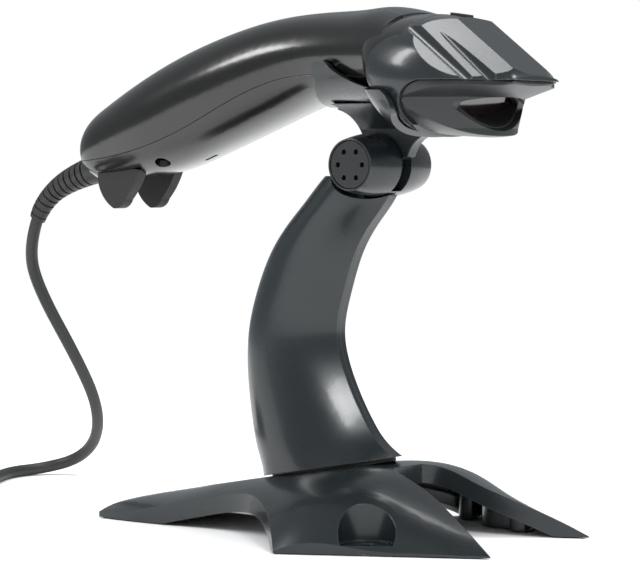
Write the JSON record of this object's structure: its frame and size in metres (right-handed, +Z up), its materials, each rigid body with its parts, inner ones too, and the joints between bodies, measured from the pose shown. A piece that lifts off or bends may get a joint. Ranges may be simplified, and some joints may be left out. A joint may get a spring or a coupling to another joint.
{
  "type": "barcode scanner with tilting stand",
  "caption": "Corded handheld barcode scanner resting in the tilting cradle of a curved-neck three-footed counter stand.",
  "frame": {"origin": "on the table, under the middle of the whole outline with the cable left out, on the middle plane", "axes": "+X the way the scanner looks, +Y the scanner's left, +Z up"},
  "size_m": [0.3041, 0.1451, 0.165],
  "materials": {
    "stand_plastic": "fine-textured blue-grey moulded plastic, semi-gloss",
    "cap_plastic": "satin dark plastic",
    "pad_rubber": "soft rubber",
    "ballast_steel": "zinc-plated steel plate",
    "zinc_screws": "zinc-plated steel",
    "nylon": "natural nylon",
    "magnet_nickel": "nickel-plated magnet",
    "handle_plastic": "satin near-black plastic",
    "head_plastic": "fine-textured blue-grey plastic, semi-gloss",
    "bezel_plastic": "satin dark grey plastic",
    "window_glass": "dark red-tinted polycarbonate window",
    "gasket_rubber": "black foam gasket",
    "lens_plastic": "translucent smoked lens",
    "button_plastic": "grey satin plastic",
    "black_moulding": "moulded black plastic",
    "board_laminate": "green solder-masked laminate",
    "clear_plug": "clear modular plug",
    "brass": "turned brass",
    "mirror_glass": "front-silvered mirror",
    "copper_coil": "enamelled copper winding",
    "fin_rubber": "soft dark rubber",
    "cable_jacket": "matte dark grey jacket",
    "boot_rubber": "matte dark moulded rubber",
    "tie_nylon": "black strap",
    "plug_steel": "nickel-plated steel",
    "tongue_plastic": "white plastic tongue"
  },
  "bodies": {
    "stand": {"base_shell": "stand_plastic", "rubber_feet": "pad_rubber", "base_weight": "ballast_steel", "base_screws": "zinc_screws", "neck_left_shell": "stand_plastic", "neck_right_shell": "stand_plastic", "barrel_left": "stand_plastic", "barrel_right": "stand_plastic", "pivot_bolt": "zinc_screws", "pivot_nut": "zinc_screws", "friction_washers": "nylon", "pivot_cap_left": "cap_plastic", "pivot_cap_right": "cap_plastic", "cable_lower": "cable_jacket", "cable_coil": "cable_jacket", "coil_tie": "tie_nylon", "cable_tail": "cable_jacket", "usb_overmould": "boot_rubber", "usb_shell": "plug_steel", "usb_tongue": "tongue_plastic"},
    "cradle": {"cradle": "stand_plastic", "cradle_magnet": "magnet_nickel"},
    "scanner": {"handle_upper": "handle_plastic", "handle_lower": "handle_plastic", "shell_screws": "zinc_screws", "head_bezel": "bezel_plastic", "scan_window": "window_glass", "window_gasket": "gasket_rubber", "head_cover": "head_plastic", "status_lens": "lens_plastic", "switch_housing": "black_moulding", "main_board": "board_laminate", "board_chips": "black_moulding", "beeper": "black_moulding", "cable_jack": "black_moulding", "cable_inner_plug": "clear_plug", "engine_chassis": "black_moulding", "laser_diode": "brass", "mirror_drive_coil": "copper_coil", "light_sensor": "black_moulding", "engine_board": "board_laminate", "rest_fins": "fin_rubber", "cable_upper": "cable_jacket", "strain_relief": "boot_rubber"},
    "button": {"scan_button": "button_plastic"},
    "plunger": {"switch_plunger": "nylon"},
    "mirror": {"scan_mirror": "mirror_glass"}
  },
  "joints": [
    {"name": "tilt", "type": "hinge", "parent": "stand", "child": "cradle", "pos_m": [0.0286, 0, 0.116], "axis": [0, 1, 0], "range_deg": [-20, 35], "deforming": ["cable_upper", "cable_lower"]},
    {"name": "lift_out", "type": "slide", "parent": "cradle", "child": "scanner", "axis": [0, 0, 1], "range_m": [0, 0.04], "deforming": ["cable_upper"]},
    {"name": "button_press", "type": "hinge", "parent": "scanner", "child": "button", "pos_m": [-0.0084, 0, 0.1602], "axis": [0, 1, 0], "range_deg": [0, 1.4], "stiffness_Nm_per_rad": 1.5, "springref_deg": -1.15},
    {"name": "switch_travel", "type": "slide", "parent": "scanner", "child": "plunger", "axis": [0, 0, -1], "range_m": [0, 0.00125]},
    {"name": "mirror_swing", "type": "hinge", "parent": "scanner", "child": "mirror", "pos_m": [0.0513, 0.0033, 0.1425], "axis": [0, 0, 1], "range_deg": [-8, 8], "stiffness_Nm_per_rad": 0.0005}
  ],
  "couplings": [
    {"joint": "switch_travel", "follows": "button_press", "m_per_rad": 0.045}
  ]
}
